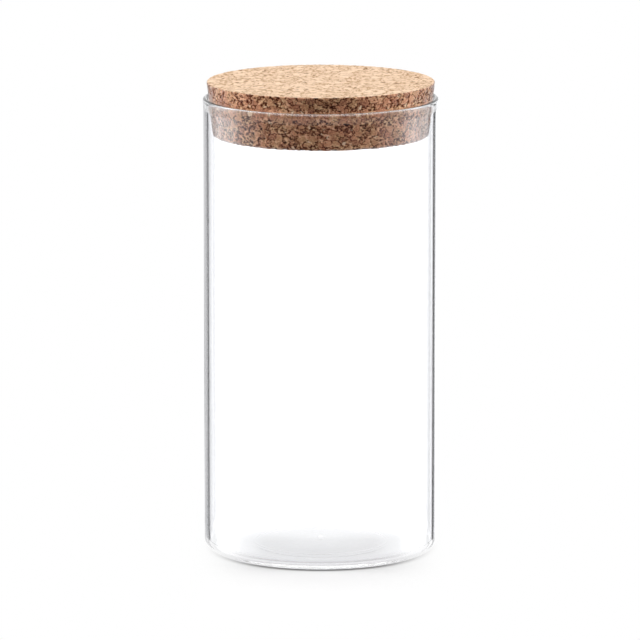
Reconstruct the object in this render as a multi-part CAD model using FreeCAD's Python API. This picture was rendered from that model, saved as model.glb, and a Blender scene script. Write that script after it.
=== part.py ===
# A straight-sided storage jar of clear heat-proof glass, closed by a tapered cork stopper lid.
# Two pieces: the blown glass jar, and the ground cork lid that wedges into its fire-polished lip.
# Millimetres, +Z up. The origin is the centre of the jar's base, on the surface it stands on.

import FreeCAD
import Part
import math
import os

# Glass jar
jar_diameter = 95.0  # outside of the straight wall
jar_height = 186.0  # standing surface to the top of the lip
wall = 1.9
base_thickness = 2.4
heel_radius = 4.4  # outside corner between wall and base
inside_heel_radius = 3.0
standing_ring_width = 7.0  # flat ring that carries the jar
push_up = 1.8  # rise of the base at its middle
lip_bulge = 0.2  # how far the melted lip swells past each face of the wall
lip_swell_height = 4.0  # stretch of wall that thickens into the lip, below the middle of its round

# Cork lid
lid_stand = 6.5  # cork that shows above the lip
plug_depth = 15.3  # cork inside the jar, below the top of the lip
lid_taper_share = 0.116  # radius that the cork gains for each length of height
lid_top_edge = 0.5  # ground off the sharp upper edge
lid_bottom_edge = 0.9
seat_clearance = 0.05  # between the cork's cone and the lip it wedges against

# Places that follow from the sizes above
outer_radius = jar_diameter / 2
inner_radius = outer_radius - wall
standing_ring_outer = outer_radius - heel_radius
standing_ring_inner = standing_ring_outer - standing_ring_width
inside_heel_inner = inner_radius - inside_heel_radius
inside_heel_top = base_thickness + inside_heel_radius
lip_radius = wall / 2 + lip_bulge
lip_ring_radius = outer_radius - wall / 2
lip_ring_height = jar_height - lip_radius
wall_top = lip_ring_height - lip_swell_height

lip_arc_count = 4  # the round lip and heels are drawn as a few arcs each, which keeps their meshes light
heel_arc_count = 2
full_turn = 360
half_turn_radians = math.pi
quarter_turn_radians = math.pi / 2
axis_point = FreeCAD.Vector(0, 0, 0)
axis_direction = FreeCAD.Vector(0, 0, 1)


def at(radius, height):
    """A point of a turned profile, which is drawn in the XZ plane."""
    return FreeCAD.Vector(radius, 0, height)


def line(start, end):
    return Part.LineSegment(start, end).toShape()


def arcs(centre, radius, start_angle, end_angle, count):
    """A round stretch of a turned profile as equal arcs, with angles in radians from the outward direction."""
    half_step = (end_angle - start_angle) / count / 2
    angles = [start_angle + half_step * index for index in range(2 * count + 1)]
    points = [centre + at(math.cos(angle), math.sin(angle)) * radius for angle in angles]
    return [Part.Arc(*points[index : index + 3]).toShape() for index in range(0, 2 * count, 2)]


def turned(edges):
    """The solid that a closed profile sweeps about the jar's axis."""
    profile = Part.Face(Part.Wire(edges))
    return profile.revolve(axis_point, axis_direction, full_turn)


def push_up_arc(rim_height):
    """The shallow dome from the flat ring in to the raised middle of the base."""
    dome_radius = (standing_ring_inner**2 + push_up**2) / (2 * push_up)
    dome_centre = at(0, rim_height + push_up - dome_radius)
    dome_half_angle = math.asin(standing_ring_inner / dome_radius)
    return arcs(dome_centre, dome_radius, quarter_turn_radians - dome_half_angle, quarter_turn_radians, 1)


def lip_edges():
    """The wall's swelling outside, the round melted lip, and the swelling back to the inside of the wall."""
    ring = at(lip_ring_radius, lip_ring_height)
    swell_reach = math.hypot(wall / 2, lip_swell_height)
    slope = math.acos(lip_radius / swell_reach) - math.atan2(lip_swell_height, wall / 2)
    lip = arcs(ring, lip_radius, slope, half_turn_radians - slope, lip_arc_count)
    lip_start = lip[0].Vertexes[0].Point
    lip_end = lip[-1].Vertexes[-1].Point
    return [line(at(outer_radius, wall_top), lip_start), *lip, line(lip_end, at(inner_radius, wall_top))]


def glass_jar():
    """Pushed-up base, rounded heel, straight wall and fire-polished lip, blown in one piece."""
    heel_centre = at(standing_ring_outer, heel_radius)
    inside_heel_centre = at(inside_heel_inner, inside_heel_top)
    return turned(
        [
            *push_up_arc(0),
            line(at(standing_ring_inner, 0), at(standing_ring_outer, 0)),
            *arcs(heel_centre, heel_radius, -quarter_turn_radians, 0, heel_arc_count),
            line(at(outer_radius, heel_radius), at(outer_radius, wall_top)),
            *lip_edges(),
            line(at(inner_radius, wall_top), at(inner_radius, inside_heel_top)),
            *arcs(inside_heel_centre, inside_heel_radius, 0, -quarter_turn_radians, heel_arc_count),
            line(at(inside_heel_inner, base_thickness), at(standing_ring_inner, base_thickness)),
            *push_up_arc(base_thickness),
            line(at(0, base_thickness + push_up), at(0, push_up)),
        ]
    )


def ground_rim(solid, size, pick):
    """The solid with its highest round edge ground off if pick is max, or its lowest if it is min."""
    rims = [edge for edge in solid.Edges if edge.isClosed()]
    rim = pick(rims, key=lambda edge: edge.CenterOfMass.z)
    return solid.makeChamfer(size, [rim])


def cork_lid():
    """A cone of pressed cork, placed where it wedges against the inside of the lip."""
    taper = math.atan(lid_taper_share)
    reach = lip_radius + seat_clearance
    seat = at(lip_ring_radius - reach * math.cos(taper), lip_ring_height + reach * math.sin(taper))
    bottom = jar_height - plug_depth
    top = jar_height + lid_stand
    bottom_radius = seat.x + (bottom - seat.z) * lid_taper_share
    top_radius = seat.x + (top - seat.z) * lid_taper_share
    cone = Part.makeCone(bottom_radius, top_radius, top - bottom, at(0, bottom), axis_direction)
    return ground_rim(ground_rim(cone, lid_top_edge, max), lid_bottom_edge, min)


def main():
    os.makedirs("parts", exist_ok=True)
    pieces = {"glass_jar": glass_jar(), "cork_lid": cork_lid()}
    for name, shape in pieces.items():
        shape.exportStep(os.path.join("parts", name + ".step"))
        print(name, "valid", shape.isValid(), "volume", round(shape.Volume), "mm3")


main()
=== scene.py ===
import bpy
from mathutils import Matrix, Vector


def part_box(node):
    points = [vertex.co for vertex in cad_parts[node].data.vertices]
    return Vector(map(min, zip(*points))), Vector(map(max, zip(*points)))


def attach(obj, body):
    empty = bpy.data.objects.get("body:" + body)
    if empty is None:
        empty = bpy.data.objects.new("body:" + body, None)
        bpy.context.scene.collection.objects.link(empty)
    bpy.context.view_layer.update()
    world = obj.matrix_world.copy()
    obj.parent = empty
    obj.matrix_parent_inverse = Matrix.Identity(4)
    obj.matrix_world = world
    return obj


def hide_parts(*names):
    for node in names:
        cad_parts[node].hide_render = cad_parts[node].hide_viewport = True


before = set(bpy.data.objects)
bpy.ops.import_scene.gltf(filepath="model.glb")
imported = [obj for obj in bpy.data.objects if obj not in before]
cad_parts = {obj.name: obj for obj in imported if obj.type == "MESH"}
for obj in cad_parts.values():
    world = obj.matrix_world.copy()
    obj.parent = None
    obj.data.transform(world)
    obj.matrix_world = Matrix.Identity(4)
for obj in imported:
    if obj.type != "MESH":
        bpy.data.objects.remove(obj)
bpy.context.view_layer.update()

import math

import bpy
import numpy as np
from mathutils import Vector

scene = bpy.context.scene
scene.view_settings.view_transform = "Standard"

# small helpers

def linear(red, green, blue):  # screen values of 0 to 255 to the light values that shaders use
    parts = [value / 255 for value in (red, green, blue)]
    return tuple(p / 12.92 if p <= 0.04045 else ((p + 0.055) / 1.055) ** 2.4 for p in parts) + (1.0,)


def newObject(name, verts, faces):
    mesh = bpy.data.meshes.new(name)
    mesh.from_pydata(verts, [], faces)
    mesh.validate()
    mesh.update()
    mesh.shade_smooth()
    obj = bpy.data.objects.new(name, mesh)
    scene.collection.objects.link(obj)
    return obj


def newMaterial(name):
    material = bpy.data.materials.new(name)
    material.use_nodes = True
    tree = material.node_tree
    tree.nodes.clear()
    return material, tree


def node(tree, kind, inputs=None, **settings):  # inputs are numbers or the outputs of other nodes
    made = tree.nodes.new(kind)
    for key, value in settings.items():
        setattr(made, key, value)
    for key, value in (inputs or {}).items():
        if isinstance(value, bpy.types.NodeSocket):
            tree.links.new(value, made.inputs[key])
        else:
            made.inputs[key].default_value = value
    return made


def mathNode(tree, operation, *values):
    return node(tree, "ShaderNodeMath", dict(enumerate(values)), operation=operation).outputs[0]


def times(tree, first, second):
    return mathNode(tree, "MULTIPLY", first, second)


def vectorMath(tree, operation, *values):
    return node(tree, "ShaderNodeVectorMath", dict(enumerate(values)), operation=operation).outputs[0]


def scaled(tree, vector, amount):
    return node(tree, "ShaderNodeVectorMath", {0: vector, "Scale": amount}, operation="SCALE").outputs[0]


def axesOf(tree, vector):
    return node(tree, "ShaderNodeSeparateXYZ", {0: vector}).outputs


def mixValue(tree, factor, first, second):
    return node(tree, "ShaderNodeMix", {0: factor, 2: first, 3: second}, data_type="FLOAT").outputs[0]


def mixColour(tree, factor, first, second, blend="MIX"):
    made = node(tree, "ShaderNodeMix", data_type="RGBA", blend_type=blend)
    for key, value in (("Factor_Float", factor), ("A_Color", first), ("B_Color", second)):
        socket = next(s for s in made.inputs if s.identifier == key)
        if isinstance(value, bpy.types.NodeSocket):
            tree.links.new(value, socket)
        else:
            socket.default_value = value
    return next(s for s in made.outputs if s.identifier == "Result_Color")


def mapRange(tree, value, reach, start=0.0, end=1.0, kind="LINEAR"):  # from start to end over the reach
    inputs = {0: value, 1: reach[0], 2: reach[1], 3: start, 4: end}
    return node(tree, "ShaderNodeMapRange", inputs, interpolation_type=kind).outputs[0]


def ease(tree, value, reach, start=0.0, end=1.0):  # the same, with a soft beginning and ending
    return mapRange(tree, value, reach, start, end, "SMOOTHSTEP")


def window(tree, value, reach):  # 1 between the middle two of four values and 0 beyond the outer two
    return times(tree, ease(tree, value, reach[:2]), ease(tree, value, reach[2:], 1.0, 0.0))


def ramp(tree, factor, stops):  # stops are (place, colour)
    made = node(tree, "ShaderNodeValToRGB", {"Fac": factor})
    elements = made.color_ramp.elements
    while len(elements) < len(stops):
        elements.new(0.5)
    for element, (place, colour) in zip(elements, stops):
        element.position = place
        element.color = colour if isinstance(colour, tuple) else (colour, colour, colour, 1)
    return made.outputs[0]


def levelRamp(tree, value, span, stops):  # stops are (place, level), with places from 0 to the span
    return ramp(tree, mapRange(tree, value, (0, span)), [(place / span, level) for place, level in stops])


def noise(tree, place, size, detail=2.0):
    made = node(tree, "ShaderNodeTexNoise", {"Vector": place, "Scale": 1 / size, "Detail": detail})
    return made.outputs[0], made.outputs[1]


# glass jar

jar = dict(
    wall=0.0019,
    baseThickness=0.0024,
    heelRadius=0.0044,
    insideHeelRadius=0.0030,
    standingRing=0.0070,
    pushUp=0.0018,
    lipBulge=0.0002,
    lipSwell=0.0040,
    segments=360,
    wallRows=40,
    heelRows=14,
    lipRows=30,
    swellRows=8,
    baseRows=18,
    floorRings=(0.0270, 0.0378),  # low ridges that the mould leaves round the floor of the jar
    ringWidth=0.0018,
    ringHeight=0.00004,
    ringRows=11,
    nubRadius=0.0011,  # and a nub in the middle
    nubHeight=0.00026,
    nubRows=9,
    wallWave=0.000015,  # how far the blown wall's inside wanders
    waveLobes=(2, 3),  # how often round the jar, in an upright and a twisted wave
    waveStart=0.6,  # radians
    waveTwist=9,  # radians by which the second one turns over the height that follows
    waveHeight=0.19,
    waveFoot=0.006,  # the wander begins at this height and runs over this length
    waveLength=0.173,
    ior=1.47,
    streakScale=(60, 60, 6),  # faint upright streaks in the tint and the polish
    streakDetail=3.0,
    tints=[(0.3, (0.985, 0.992, 0.995, 1)), (0.7, (0.995, 0.998, 1.0, 1))],
    dullReach=(0.45, 0.75),
    dullRoughness=0.012,
    shadowTint=0.97,  # light that passes straight through one face of the glass
    edgeShadow=0.60,  # and along it
    edgeShadowReach=(0.55, 0.95),
    heelShadow=0.50,  # and through the foot of the round heel, which turns it aside
    heelShadowReach=(0.0006, 0.0022),
    neckShadow=0.64,  # and through the neck, which swells into the lip
    neckShadowReach=(0.150, 0.168),
)


def arcPoints(centre, radius, start, end, count):
    angles = np.radians(np.linspace(start, end, count))
    return np.stack([centre[0] + radius * np.cos(angles), centre[1] + radius * np.sin(angles)], 1)


def swell(distance, width):  # a smooth low hump, 1 at its middle and 0 from half its width on
    return 0.5 + 0.5 * np.cos(np.pi * np.clip(np.abs(distance) * 2 / width, 0, 1))


def domeHeight(radii, ringIn):  # the pushed-up base, level in the middle and at the standing ring
    return jar["pushUp"] * swell(radii, 2 * ringIn)


def floorRelief(radii):
    ridges = sum(swell(radii - ring, jar["ringWidth"]) for ring in jar["floorRings"])
    return jar["ringHeight"] * ridges + jar["nubHeight"] * swell(radii, 2 * jar["nubRadius"])


def jarProfile():
    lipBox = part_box("glass_jar")[1]
    height, lipReach = lipBox.z, lipBox.x
    outer = lipReach - jar["lipBulge"]
    inner = outer - jar["wall"]
    base = jar["baseThickness"]
    heel, inHeel = jar["heelRadius"], jar["insideHeelRadius"]
    ringOut = outer - heel
    ringIn = ringOut - jar["standingRing"]
    lipRadius = jar["wall"] / 2 + jar["lipBulge"]
    lipCentre = (outer - jar["wall"] / 2, height - lipRadius)
    wallTop = lipCentre[1] - jar["lipSwell"]

    coarse = np.linspace(0, ringIn, jar["baseRows"])
    under = np.stack([coarse, domeHeight(coarse, ringIn)], 1)
    across = jar["ringWidth"] * np.linspace(-0.5, 0.5, jar["ringRows"])
    nub = jar["nubRadius"] * np.linspace(0, 1, jar["nubRows"])
    fine = np.concatenate([coarse, *[ring + across for ring in jar["floorRings"]], nub])
    fine = np.unique(fine.round(6))[::-1]
    floor = np.stack([fine, base + domeHeight(fine, ringIn) + floorRelief(fine)], 1)
    rise = np.linspace(0, 1, jar["wallRows"])[1:-1]
    climb = np.linspace(0, 1, jar["swellRows"])[1:-1]
    bulge = jar["lipBulge"] * swell(1 - climb, 2)
    outsideWall = np.stack([np.full(len(rise), outer), heel + rise * (wallTop - heel)], 1)
    insideWall = np.stack([np.full(len(rise), inner), wallTop + rise * (base + inHeel - wallTop)], 1)
    outsideSwell = np.stack([outer + bulge, wallTop + climb * (lipCentre[1] - wallTop)], 1)
    insideSwell = np.stack([inner - bulge[::-1], wallTop + climb[::-1] * (lipCentre[1] - wallTop)], 1)
    parts = [
        under,
        arcPoints((ringOut, heel), heel, -90, 0, jar["heelRows"]),
        outsideWall,
        [(outer, wallTop)],
        outsideSwell,
        arcPoints(lipCentre, lipRadius, 0, 180, jar["lipRows"]),
        insideSwell,
        [(inner, wallTop)],
        insideWall,
        arcPoints((inner - inHeel, base + inHeel), inHeel, 0, -90, jar["heelRows"]),
        floor,
    ]
    return np.concatenate([np.asarray(part) for part in parts]), inner


def turnedMesh(name, rows):  # rows are rings of points, and a row of one point closes the surface
    verts = [tuple(point) for row in rows for point in row]
    starts = np.cumsum([0] + [len(row) for row in rows])
    faces = []
    for start, end, low, high in zip(starts, starts[1:], rows, rows[1:]):
        countLow, countHigh = len(low), len(high)
        if countLow == countHigh:
            for step in range(countLow):
                after = (step + 1) % countLow
                faces.append((start + step, start + after, end + after, end + step))
            continue
        stepLow = stepHigh = 0
        while stepLow < countLow or stepHigh < countHigh:  # triangles join rings of unlike counts
            nearLow = start + stepLow % countLow
            nearHigh = end + stepHigh % countHigh
            lowNext = countLow > 1 and (stepLow + 1) * countHigh <= (stepHigh + 1) * countLow
            if countHigh == 1 or (lowNext and stepLow < countLow):
                stepLow += 1
                faces.append((nearLow, start + stepLow % countLow, nearHigh))
                if countHigh == 1 and stepLow == countLow:
                    break
            else:
                stepHigh += 1
                faces.append((nearLow, end + stepHigh % countHigh, nearHigh))
                if countLow == 1 and stepHigh == countHigh:
                    break
    return newObject(name, verts, faces)


def ringPoints(radii, heights):
    radii, heights = np.atleast_1d(radii), np.atleast_1d(heights)
    angles = np.arange(len(radii)) * 2 * np.pi / len(radii)
    return np.stack([radii * np.cos(angles), radii * np.sin(angles), heights], 1)


def buildJar():
    profile, inner = jarProfile()
    segments = jar["segments"]
    angles = np.arange(segments) * 2 * np.pi / segments
    radii = np.repeat(profile[:, :1], segments, 1)
    heights = np.repeat(profile[:, 1:], segments, 1)
    onInside = np.isclose(profile[:, 0], inner)[:, None]  # only the straight inside wall wanders
    first, second = jar["waveLobes"]
    upright = np.sin(first * angles + jar["waveStart"])[None]
    twisted = np.sin(second * angles + jar["waveTwist"] * heights / jar["waveHeight"])
    wander = upright * 0.5 + twisted * 0.5
    share = np.clip((heights - jar["waveFoot"]) / jar["waveLength"], 0, 1)
    fade = np.sin(np.pi * share) ** 0.5
    radii = radii + onInside * jar["wallWave"] * wander * fade
    middle = [ringPoints(r, h) for r, h in zip(radii[1:-1], heights[1:-1])]
    rows = [ringPoints(0, profile[0, 1]), *middle, ringPoints(0, profile[-1, 1])]
    return turnedMesh("glass_jar_clear", rows)


def glassMaterial():
    material, tree = newMaterial("clearGlass")
    place = node(tree, "ShaderNodeTexCoord").outputs["Object"]
    stretched = node(tree, "ShaderNodeMapping", {"Vector": place, "Scale": jar["streakScale"]}).outputs[0]
    streaks = noise(tree, stretched, 1.0, jar["streakDetail"])[0]
    glass = node(tree, "ShaderNodeBsdfPrincipled", {
        "Base Color": ramp(tree, streaks, jar["tints"]),
        "Roughness": mapRange(tree, streaks, jar["dullReach"], 0.0, jar["dullRoughness"]),
        "IOR": jar["ior"],
        "Transmission Weight": 1.0,
    })

    # shadow rays pass straight through, dimmed where the glass would turn the light aside
    grazing = node(tree, "ShaderNodeLayerWeight", {"Blend": 0.5}).outputs["Facing"]
    dimming = zip(jar["edgeShadowReach"], (jar["shadowTint"], jar["edgeShadow"]))
    shade = ramp(tree, grazing, list(dimming))
    height = axesOf(tree, place)["Z"]
    heel = ease(tree, height, jar["heelShadowReach"], jar["heelShadow"], 1.0)
    neck = ease(tree, height, jar["neckShadowReach"], 1.0, jar["neckShadow"])
    shade = times(tree, shade, times(tree, heel, neck))
    passing = node(tree, "ShaderNodeBsdfTransparent", {"Color": shade})
    shadowRay = node(tree, "ShaderNodeLightPath").outputs["Is Shadow Ray"]
    mixed = node(tree, "ShaderNodeMixShader", {0: shadowRay, 1: glass.outputs[0], 2: passing.outputs[0]})
    node(tree, "ShaderNodeOutputMaterial", {"Surface": mixed.outputs[0]})
    return material


jarGlass = buildJar()
jarGlass.data.materials.append(glassMaterial())
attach(jarGlass, "jar")
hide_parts("glass_jar")
print("glass jar:", len(jarGlass.data.polygons), "faces")

# cork lid

cork = dict(
    taper=0.116,
    topEdge=0.00028,
    bottomEdge=0.0009,
    sharpAngle=40,  # degrees from which an edge is shaded as a sharp one
    sideStep=0.00036,  # mesh spacing
    topStep=0.00046,
    bottomStep=0.0010,
    sandedReach=(0.85, 0.97),  # upward part of the normal, from the side to the sanded top
    granule=0.0040,  # usual width of a pressed granule
    sideScale=(1.30, 1.30, 1.65),  # granules show smaller and flatter on the side than on the top
    crumb=0.00200,  # broken bits between the granules
    crumbShare=0.52,  # share of the granules that are broken up
    chipFrom=0.955,  # chance value from which a crumb is a pale chip
    wobble=0.0011,  # how far noise bends the seams
    wobbleSize=0.0019,
    fray=0.00030,
    fraySize=0.0007,
    seam=0.00026,  # half the width of a dark seam, which is darkest in its inner half
    stain=0.00052,  # half the width of its reddish border
    seamHighlightReach=0.00052,  # how far from a seam the painted highlight along its edge reaches
    openSize=0.0018,  # size of the stretches in which seams are open
    openReach=(0.38, 0.54),
    specks=dict(spacing=0.0021, share=0.45, radii=(0.000175, 0.00050), fading=(0.6, 1.1)),  # dark holes
    pits=dict(spacing=0.0034, share=0.50, radii=(0.00040, 0.00115), fading=(0.75, 1.05)),  # in the top
    seatBand=(0.1832, 0.1842, 0.1860, 0.1868),  # heights between which the lip presses the cork smooth
    seatShare=0.30,  # how much of the seams and holes is left there
    seamDepth=0.00020,
    sinkDepth=0.00010,
    speckDepth=0.00035,
    sandedShare=0.30,  # how much of the relief is left on the sanded top
    sandedReliefReach=(0.75, 0.95),
    crumbleDepth=0.00045,  # nicks along the upper edge
    crumbleNormals=(0.1, 0.4, 0.8, 0.99),
    crumbleBelow=(0.002, 0.001),  # how far below the top they begin and are at their full depth
    nickSize=0.0024,
    nickReach=(0.5, 0.72),
    toneSpread=0.48,  # how far the granules differ in tone
    streak=0.00054,  # size of the fine streaks within them
    streakSpread=(1.5, 0.8),  # on the side and on the sanded top
    paintedSeamHighlight=0.42,  # how much paler the painted highlight makes the edge of a seam
    sideTones=[(0.0, (98, 46, 23)), (0.22, (150, 89, 57)), (0.45, (195, 132, 94)),
               (0.70, (214, 156, 117)), (1.0, (242, 194, 154))],
    topTones=[(0.0, (196, 156, 118)), (0.22, (226, 193, 160)), (0.45, (237, 207, 177)),
              (0.70, (241, 211, 182)), (1.0, (248, 222, 196))],
    patchSize=0.0055,  # stretches of redder and of more olive cork
    patchDetail=3.0,
    patchReach=(0.38, 0.62),
    redTint=(1.03, 0.95, 0.94, 1),
    oliveTint=(0.96, 1.0, 0.91, 1),
    sideStain=(0.50, 0.34, 0.24, 1),  # what the border leaves of the side's colour
    sideSeam=(0.18, 0.08, 0.04, 1),
    topSeam=(0.58, 0.48, 0.39, 1),
    topPit=(0.40, 0.30, 0.21, 1),
    paleChip=(240, 206, 172),
    grain=0.0004,  # size of the finest roughness
    grainDetail=3.0,
    grainReach=(0.3, 0.7),
    grainStrength=0.5,
    grainHeight=0.0001,
    roughness=(0.50, 0.70),
    topRoughness=0.9,
    gloss=(0.30, 0.02),  # on the side and on the sanded top
    sheen=(1.6, 0.10),
    sheenRoughness=0.45,
    bareFrom=0.6,  # how dark a seam or hole is that keeps only this share of gloss and sheen
    bareShare=0.1,
)


def toneStops(name):
    return [(place, linear(*colour)) for place, colour in cork[name]]


def bent(tree, place, reach, size):  # the place, moved about by noise
    spread = vectorMath(tree, "SUBTRACT", noise(tree, place, size)[1], (0.5, 0.5, 0.5))
    return vectorMath(tree, "ADD", place, scaled(tree, spread, 2 * reach))


def cells(tree, place, size):  # each cell's chance values, the way from its middle and to its edge
    inputs = {"Vector": place, "Scale": 1 / size}
    cell = node(tree, "ShaderNodeTexVoronoi", inputs, feature="F1")
    rim = node(tree, "ShaderNodeTexVoronoi", inputs, feature="DISTANCE_TO_EDGE")
    middle = times(tree, cell.outputs["Distance"], size)
    edge = times(tree, rim.outputs["Distance"], size)
    return axesOf(tree, cell.outputs["Color"]), middle, edge


def holes(tree, place, spec):  # round holes in a share of the cells
    chances, middle, _ = cells(tree, place, spec["spacing"])
    chosen = mathNode(tree, "LESS_THAN", chances[0], spec["share"])
    ratio = mathNode(tree, "DIVIDE", middle, mapRange(tree, chances[1], (0, 1), *spec["radii"]))
    return times(tree, ease(tree, ratio, spec["fading"], 1.0, 0.0), chosen)


def corkPattern(tree, place, sanded):  # granules, seams and holes, for the relief and the colour alike
    seated = window(tree, axesOf(tree, place)["Z"], cork["seatBand"])
    left = mapRange(tree, seated, (0, 1), 1.0, cork["seatShare"])
    scales = {0: sanded, 4: cork["sideScale"], 5: (1, 1, 1)}
    grainScale = node(tree, "ShaderNodeMix", scales, data_type="VECTOR").outputs[1]
    place = vectorMath(tree, "MULTIPLY", place, grainScale)
    bending = bent(tree, place, cork["wobble"], cork["wobbleSize"])
    frayed = bent(tree, bending, cork["fray"], cork["fraySize"])

    granule, _, granuleEdge = cells(tree, frayed, cork["granule"])
    crumb, _, crumbEdge = cells(tree, frayed, cork["crumb"])
    broken = mathNode(tree, "LESS_THAN", granule[0], cork["crumbShare"])
    tone = mixValue(tree, broken, granule[1], crumb[1])
    sink = mixValue(tree, broken, granule[2], crumb[2])
    chip = times(tree, mathNode(tree, "GREATER_THAN", crumb[0], cork["chipFrom"]), broken)

    edge = mathNode(tree, "MINIMUM", granuleEdge, mixValue(tree, broken, cork["granule"], crumbEdge))
    opened = ease(tree, noise(tree, place, cork["openSize"])[0], cork["openReach"])
    opened = times(tree, opened, left)
    seam = times(tree, ease(tree, edge, (cork["seam"] / 2, cork["seam"]), 1.0, 0.0), opened)
    stain = times(tree, ease(tree, edge, (0, cork["stain"]), 1.0, 0.0), opened)
    # painted highlight: a paler band along each seam stands in for its lit edge
    lip = ease(tree, edge, (cork["seam"], cork["seamHighlightReach"]), 1.0, 0.0)
    lip = times(tree, lip, mathNode(tree, "SUBTRACT", left, opened))

    speck = times(tree, holes(tree, frayed, cork["specks"]), left)
    pits = holes(tree, frayed, cork["pits"])
    return dict(tone=tone, seam=seam, stain=stain, lip=lip, speck=speck, pits=pits, sink=sink, chip=chip)


def corkRelief(obj):  # seams, holes and nicks pressed into the mesh, never out of it
    tree = bpy.data.node_groups.new("corkRelief", "GeometryNodeTree")
    tree.interface.new_socket("Geometry", in_out="INPUT", socket_type="NodeSocketGeometry")
    tree.interface.new_socket("Geometry", in_out="OUTPUT", socket_type="NodeSocketGeometry")
    place = node(tree, "GeometryNodeInputPosition").outputs[0]
    normal = node(tree, "GeometryNodeInputNormal").outputs[0]
    upward = axesOf(tree, normal)["Z"]
    pattern = corkPattern(tree, place, ease(tree, upward, cork["sandedReach"]))
    depth = times(tree, pattern["seam"], cork["seamDepth"])
    depth = mathNode(tree, "MULTIPLY_ADD", pattern["sink"], cork["sinkDepth"], depth)
    depth = mathNode(tree, "MULTIPLY_ADD", pattern["speck"], cork["speckDepth"], depth)
    depth = times(tree, depth, ease(tree, upward, cork["sandedReliefReach"], 1.0, cork["sandedShare"]))

    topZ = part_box("cork_lid")[1].z
    nearTop = [topZ - below for below in cork["crumbleBelow"]]
    onEdge = window(tree, upward, cork["crumbleNormals"])
    onEdge = times(tree, onEdge, ease(tree, axesOf(tree, place)["Z"], nearTop))
    nick = ease(tree, noise(tree, place, cork["nickSize"])[0], cork["nickReach"])
    depth = mathNode(tree, "MULTIPLY_ADD", times(tree, onEdge, nick), cork["crumbleDepth"], depth)

    inward = scaled(tree, normal, times(tree, depth, -1.0))
    source = node(tree, "NodeGroupInput").outputs[0]
    moved = node(tree, "GeometryNodeSetPosition", {"Geometry": source, "Offset": inward}).outputs[0]
    node(tree, "NodeGroupOutput", {0: moved})
    relief = obj.modifiers.new("corkRelief", "NODES")
    relief.node_group = tree
    pressed = bpy.data.meshes.new_from_object(obj.evaluated_get(bpy.context.evaluated_depsgraph_get()))
    obj.modifiers.clear()
    obj.data = pressed


def buildCork():
    low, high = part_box("cork_lid")
    topEdge, bottomEdge = cork["topEdge"], cork["bottomEdge"]
    lean = math.atan(cork["taper"])
    topRadius = high.x + topEdge * math.sin(lean)
    bottomRadius = topRadius - (high.z - low.z) * cork["taper"]
    corners = [
        (0, low.z),
        (bottomRadius - bottomEdge, low.z),
        (bottomRadius + bottomEdge * math.sin(lean), low.z + bottomEdge * math.cos(lean)),
        (topRadius - topEdge * math.sin(lean), high.z - topEdge * math.cos(lean)),
        (topRadius - topEdge, high.z),
        (0, high.z),
    ]
    steps = [cork["bottomStep"], cork["sideStep"], cork["sideStep"], cork["sideStep"], cork["topStep"]]
    sideCount = round(2 * math.pi * topRadius / cork["sideStep"])
    rows = [ringPoints(*corners[0])]
    for start, end, step in zip(corners, corners[1:], steps):
        count = max(2, round(math.dist(start, end) / step))
        for share in np.arange(1, count + 1) / count:
            radius, height = np.array(start) * (1 - share) + np.array(end) * share
            around = max(1, round(2 * math.pi * radius / step))
            if step == cork["sideStep"]:
                around = sideCount
            rows.append(ringPoints(np.full(around, radius), np.full(around, height)))
    obj = turnedMesh("cork_lid_grain", rows)
    corkRelief(obj)
    obj.data.set_sharp_from_angle(angle=math.radians(cork["sharpAngle"]))
    return obj


def corkMaterial():
    material, tree = newMaterial("pressedCork")
    coordinates = node(tree, "ShaderNodeTexCoord").outputs
    place = coordinates["Object"]
    sanded = ease(tree, axesOf(tree, coordinates["Normal"])["Z"], cork["sandedReach"])
    pattern = corkPattern(tree, place, sanded)
    dark = mathNode(tree, "MAXIMUM", pattern["seam"], pattern["speck"])

    # colour
    half = cork["toneSpread"] / 2
    even = mapRange(tree, pattern["tone"], (0, 1), 0.5 - half, 0.5 + half)
    streaky = mathNode(tree, "SUBTRACT", noise(tree, place, cork["streak"])[0], 0.5)
    spread = mapRange(tree, sanded, (0, 1), *cork["streakSpread"])
    tone = mathNode(tree, "MULTIPLY_ADD", streaky, spread, even)
    # the painted highlight along the seams lightens the side's tone
    sideTone = mathNode(tree, "MULTIPLY_ADD", pattern["lip"], cork["paintedSeamHighlight"], tone)
    patch = ease(tree, noise(tree, place, cork["patchSize"], cork["patchDetail"])[0], cork["patchReach"])
    tint = mixColour(tree, patch, cork["redTint"], cork["oliveTint"])
    side = mixColour(tree, 1.0, ramp(tree, sideTone, toneStops("sideTones")), tint, "MULTIPLY")
    side = mixColour(tree, pattern["chip"], side, linear(*cork["paleChip"]))
    side = mixColour(tree, pattern["stain"], side, cork["sideStain"], "MULTIPLY")
    side = mixColour(tree, dark, side, cork["sideSeam"], "MULTIPLY")
    top = ramp(tree, tone, toneStops("topTones"))
    top = mixColour(tree, pattern["seam"], top, cork["topSeam"], "MULTIPLY")
    top = mixColour(tree, pattern["pits"], top, cork["topPit"], "MULTIPLY")

    # finish
    grain = noise(tree, place, cork["grain"], cork["grainDetail"])[0]
    roughness = mapRange(tree, grain, cork["grainReach"], *cork["roughness"])
    bare = mapRange(tree, dark, (0, cork["bareFrom"]), 1.0, cork["bareShare"])
    gloss = times(tree, mapRange(tree, sanded, (0, 1), *cork["gloss"]), bare)
    sheen = times(tree, mapRange(tree, sanded, (0, 1), *cork["sheen"]), bare)
    bump = node(tree, "ShaderNodeBump", {
        "Height": grain,
        "Strength": cork["grainStrength"],
        "Distance": cork["grainHeight"],
    })
    surface = node(tree, "ShaderNodeBsdfPrincipled", {
        "Base Color": mixColour(tree, sanded, side, top),
        "Roughness": mixValue(tree, sanded, roughness, cork["topRoughness"]),
        "Specular IOR Level": gloss,
        "Sheen Weight": sheen,
        "Sheen Roughness": cork["sheenRoughness"],
        "Normal": bump.outputs[0],
    })
    node(tree, "ShaderNodeOutputMaterial", {"Surface": surface.outputs[0]})
    return material


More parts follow.
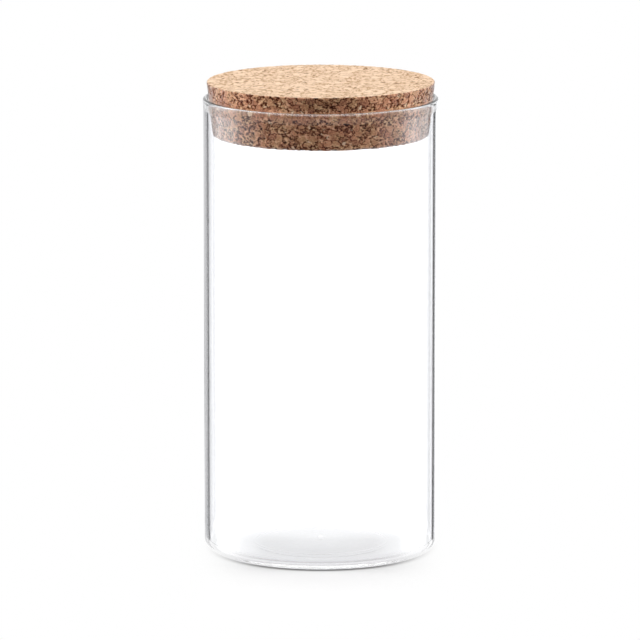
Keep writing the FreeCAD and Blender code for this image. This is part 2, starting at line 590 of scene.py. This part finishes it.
corkLid = buildCork()
corkLid.data.materials.append(corkMaterial())
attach(corkLid, "lid")
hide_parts("cork_lid")
print("cork lid:", len(corkLid.data.polygons), "faces")

# floor, light and camera

studio = dict(
    floorSize=6.0,
    floorNear=0.0485,  # the round of floor that shows through the base of the jar
    floorSegments=180,
    floorSeen=0.885,  # the floor's paper as it is looked at
    floorBounce=0.12,  # and as it lights the object
    floorLift=0.10,
    footReach=(0.0445, 0.0480),  # painted shadow: the paper is darkened close to the foot of the jar
    footShade=0.45,
    underSeen=0.40,  # the paper of the round under the jar, as it shows through the glass
    pool=(0, -0.010, 0),  # painted light: where the glow on the round under the jar, for light that falls through the jar, is weakest
    paintedUnderGlow=[(0, 0.62), (0.020, 0.66), (0.030, 0.70), (0.050, 0.72)],  # by metres from there
    underSpan=0.050,
    paintedRearGlow=0.42,  # and more of the painted glow towards the backdrop
    rearReach=(0.002, 0.026),
    contactReach=(0.0432, 0.0458),  # painted shadow: the round is darkened where the heel comes down to it
    contactShade=0.62,
    contactSide=(-0.028, -0.010),  # on the side away from the backdrop
    underTint=(0.985, 0.975, 1.0, 1),
    shadowReach=(0.065, 0.140),  # beyond these distances the floor fades to the white sweep
    asideReach=(0.020, 0.052),  # and sooner to the left and right
    topLamp=dict(place=(0.0, 0.10, 1.10), aim=(0, 0, 0.15), size=(0.9, 0.7), watts=5.5),
    leftLamp=dict(place=(-0.92, -0.125, 0.45), aim=(0, 0, 0.12), size=(0.55, 0.9), watts=10.0),
    rightLamp=dict(place=(0.92, -0.125, 0.45), aim=(0, 0, 0.12), size=(0.55, 0.9), watts=9.0),
    ambient=0.085,
    floorGlow=1.25,  # light that comes off the floor to what stands inside the glass
    horizon=(-0.03, 0.03),
    backdrop=1.5,  # what shows through the glass, bright enough to stay white through it
    gapSpan=45,  # degrees after which the backdrop runs back
    leftGap=[(0, 1), (3, 1), (5, 0.75), (11, 0.85), (13, 0.4), (15, 0.4), (17, 0.8), (20, 0.8),
             (24, 0.35), (38, 0.35), (44, 1)],  # degrees aside, share of the backdrop
    rightGap=[(0, 1), (3, 1), (5, 0.8), (11, 0.8), (13, 0.35), (15, 0.35), (17, 0.65), (20, 0.65),
              (24, 0.35), (38, 0.35), (44, 1)],
    mirror=2.7,  # what the glass mirrors: softboxes at the left and right in a dim room
    mirrorSpan=180,
    leftMirror=[(0, 0.35), (8, 0.2), (19, 0.25), (21, 0.1), (23, 0.1), (24, 0.35), (25.5, 0.35),
                (26.5, 0), (33, 0.05), (35, 0.35), (40, 0.35), (48, 0.25), (58, 0.85), (66, 0.9),
                (81, 1.1), (92, 0.6), (105, 0.4), (122, 0.05), (180, 0.01)],
    rightMirror=[(0, 0.35), (8, 0.45), (20, 0.45), (24, 0.02), (33, 0.02), (34, 0.55), (40, 0.55),
                 (41, 0.05), (45, 0.05), (46, 0.45), (58, 0.6), (66, 0.8), (73, 1.05), (80, 1.05),
                 (86, 0.9), (96, 0.45), (110, 0.3), (125, 0.05), (180, 0.01)],
    glassTint=(0.975, 0.975, 1.0, 1),
    levels=(-0.58, -0.46, -0.06, 0.04),  # sines of the elevations at which gaps and softboxes stand
    elsewhere=1.0,  # the white room below and above them, in the glass
    below=0.90,  # the floor beside the jar, through its heel
    highWall=1.6,  # light above the backdrop
    highWallEdge=(0.38, 0.50),
    overhead=6.0,  # and a lamp above all
    overheadEdge=(0.55, 0.90),
    bounces=24,
    glossyBounces=16,
    lens=350.0,
    cameraPlace=(-0.0003, -2.490, 0.5624),
    cameraPitch=10.65,
    cameraReach=20,
)


def floorMaterial():
    material, tree = newMaterial("whiteSweep")
    place = node(tree, "ShaderNodeTexCoord").outputs["Object"]
    axes = axesOf(tree, place)
    distance = node(tree, "ShaderNodeVectorMath", {0: place}, operation="LENGTH").outputs["Value"]
    rays = node(tree, "ShaderNodeLightPath").outputs
    direct = mathNode(tree, "LESS_THAN", rays["Diffuse Depth"], 0.5)
    inGlass = mathNode(tree, "ADD", rays["Is Glossy Ray"], rays["Is Transmission Ray"])
    inGlass = mathNode(tree, "MINIMUM", inGlass, direct)
    looked = mathNode(tree, "MAXIMUM", rays["Is Camera Ray"], inGlass)

    # paper that takes the shadow, with a painted shadow close to the foot of the jar
    foot = ease(tree, distance, studio["footReach"], studio["footShade"], 1.0)
    seen = times(tree, foot, studio["floorSeen"])
    shade = mixValue(tree, rays["Is Camera Ray"], studio["floorBounce"], seen)
    shade = mixValue(tree, inGlass, shade, studio["underSeen"])
    paper = node(tree, "ShaderNodeBsdfDiffuse", {"Color": shade})

    # the camera's lift of the paper, and painted light: a glow on the round under the jar stands in for
    # light that falls through the jar
    offset = node(tree, "ShaderNodeVectorMath", {0: place, 1: studio["pool"]}, operation="DISTANCE")
    pool = levelRamp(tree, offset.outputs["Value"], studio["underSpan"], studio["paintedUnderGlow"])
    rear = ease(tree, axes["Y"], studio["rearReach"], 0.0, studio["paintedRearGlow"])
    pool = mathNode(tree, "ADD", pool, rear)
    # painted shadow where the heel comes down to the round
    contact = ease(tree, distance, studio["contactReach"], 1.0, studio["contactShade"])
    contact = mixValue(tree, ease(tree, axes["Y"], studio["contactSide"]), contact, 1.0)
    lifting = times(tree, rays["Is Camera Ray"], times(tree, foot, studio["floorLift"]))
    lifting = mixValue(tree, inGlass, lifting, times(tree, pool, contact))
    lift = node(tree, "ShaderNodeEmission", {"Color": studio["underTint"], "Strength": lifting})
    lifted = node(tree, "ShaderNodeAddShader", {0: paper.outputs[0], 1: lift.outputs[0]})

    # white further out
    aside = ease(tree, mathNode(tree, "ABSOLUTE", axes["X"]), studio["asideReach"])
    far = mathNode(tree, "MAXIMUM", aside, ease(tree, distance, studio["shadowReach"]))
    white = node(tree, "ShaderNodeEmission", {"Strength": 1.0})
    sweep = times(tree, far, looked)
    mixed = node(tree, "ShaderNodeMixShader", {0: sweep, 1: lifted.outputs[0], 2: white.outputs[0]})
    node(tree, "ShaderNodeOutputMaterial", {"Surface": mixed.outputs[0]})
    return material


def buildFloor():
    material = floorMaterial()
    level = np.zeros(studio["floorSegments"])
    near = ringPoints(level + studio["floorNear"], level)
    far = ringPoints(level + studio["floorSize"] / 2, level)
    under = turnedMesh("floorUnder", [ringPoints(0, 0), near])
    sweep = turnedMesh("floorSweep", [near, far])
    sweep.visible_transmission = False  # past the jar, glass shows the backdrop of the world
    sweep.visible_glossy = False
    for obj in (under, sweep):
        obj.data.materials.append(material)


def buildLamp(name, spec):
    data = bpy.data.lights.new(name, "AREA")
    data.shape = "RECTANGLE"
    data.size, data.size_y = spec["size"]
    data.energy = spec["watts"]
    obj = bpy.data.objects.new(name, data)
    facing = Vector(spec["aim"]) - Vector(spec["place"])
    obj.location = spec["place"]
    obj.rotation_euler = facing.to_track_quat("-Z", "Y").to_euler()
    obj.visible_camera = False
    obj.visible_transmission = False
    obj.visible_glossy = False
    scene.collection.objects.link(obj)


def buildWorld():
    world = bpy.data.worlds.new("studio")
    world.use_nodes = True
    tree = world.node_tree
    tree.nodes.clear()
    direction = node(tree, "ShaderNodeTexCoord").outputs["Generated"]
    axes = axesOf(tree, direction)
    turn = mathNode(tree, "DEGREES", mathNode(tree, "ARCTAN2", axes["X"], axes["Y"]))
    onRight = mathNode(tree, "GREATER_THAN", turn, 0.0)
    level = window(tree, axes["Z"], studio["levels"])

    # through the glass: a bright backdrop with dark gaps aside, the same from each side
    aside = mathNode(tree, "PINGPONG", turn, studio["gapSpan"])
    left = levelRamp(tree, aside, studio["gapSpan"], studio["leftGap"])
    right = levelRamp(tree, aside, studio["gapSpan"], studio["rightGap"])
    gaps = mixValue(tree, level, 1.0, mixValue(tree, onRight, left, right))
    through = times(tree, gaps, studio["backdrop"])
    above = mapRange(tree, axes["Z"], studio["levels"][:2])
    through = mixValue(tree, above, studio["below"], through)

    # mirrored in the glass
    sideways = mathNode(tree, "ABSOLUTE", turn)
    left = levelRamp(tree, sideways, studio["mirrorSpan"], studio["leftMirror"])
    right = levelRamp(tree, sideways, studio["mirrorSpan"], studio["rightMirror"])
    around = times(tree, mixValue(tree, onRight, left, right), studio["mirror"])
    around = mixValue(tree, level, studio["elsewhere"], around)
    highWall = ease(tree, axes["Z"], studio["highWallEdge"], 0.0, studio["highWall"])
    overhead = ease(tree, axes["Z"], studio["overheadEdge"], 0.0, studio["overhead"])
    mirrored = mathNode(tree, "MAXIMUM", mathNode(tree, "MAXIMUM", around, highWall), overhead)

    # light on the cork
    lighting = mapRange(tree, axes["Z"], studio["horizon"], studio["floorGlow"], studio["ambient"])

    rays = node(tree, "ShaderNodeLightPath").outputs
    wasMirrored = mathNode(tree, "GREATER_THAN", rays["Glossy Depth"], 0.5)
    wasScattered = mathNode(tree, "GREATER_THAN", rays["Diffuse Depth"], 0.5)
    shown = mixValue(tree, rays["Is Transmission Ray"], lighting, through)
    shown = mixValue(tree, wasMirrored, shown, mirrored)
    shown = mixValue(tree, wasScattered, shown, lighting)
    shown = mixValue(tree, rays["Is Camera Ray"], shown, 1.0)
    glassy = mathNode(tree, "ADD", rays["Is Transmission Ray"], rays["Is Glossy Ray"])
    tint = mixColour(tree, times(tree, glassy, level), (1, 1, 1, 1), studio["glassTint"])
    light = node(tree, "ShaderNodeBackground", {"Color": tint, "Strength": shown})
    node(tree, "ShaderNodeOutputWorld", {"Surface": light.outputs[0]})
    world.cycles.sampling_method = "NONE"  # its light reaches the cork through the glass by bounces alone
    scene.world = world
    scene.cycles.max_bounces = studio["bounces"]
    scene.cycles.transmission_bounces = studio["bounces"]
    scene.cycles.glossy_bounces = studio["glossyBounces"]


def buildCamera():
    data = bpy.data.cameras.new("camera")
    data.lens = studio["lens"]
    data.clip_end = studio["cameraReach"]
    obj = bpy.data.objects.new("camera", data)
    obj.location = studio["cameraPlace"]
    obj.rotation_euler = (math.radians(90 - studio["cameraPitch"]), 0, 0)
    scene.collection.objects.link(obj)
    scene.camera = obj


buildFloor()
for lampName in ("topLamp", "leftLamp", "rightLamp"):
    buildLamp(lampName, studio[lampName])
buildWorld()
buildCamera()
print("studio and camera are set")
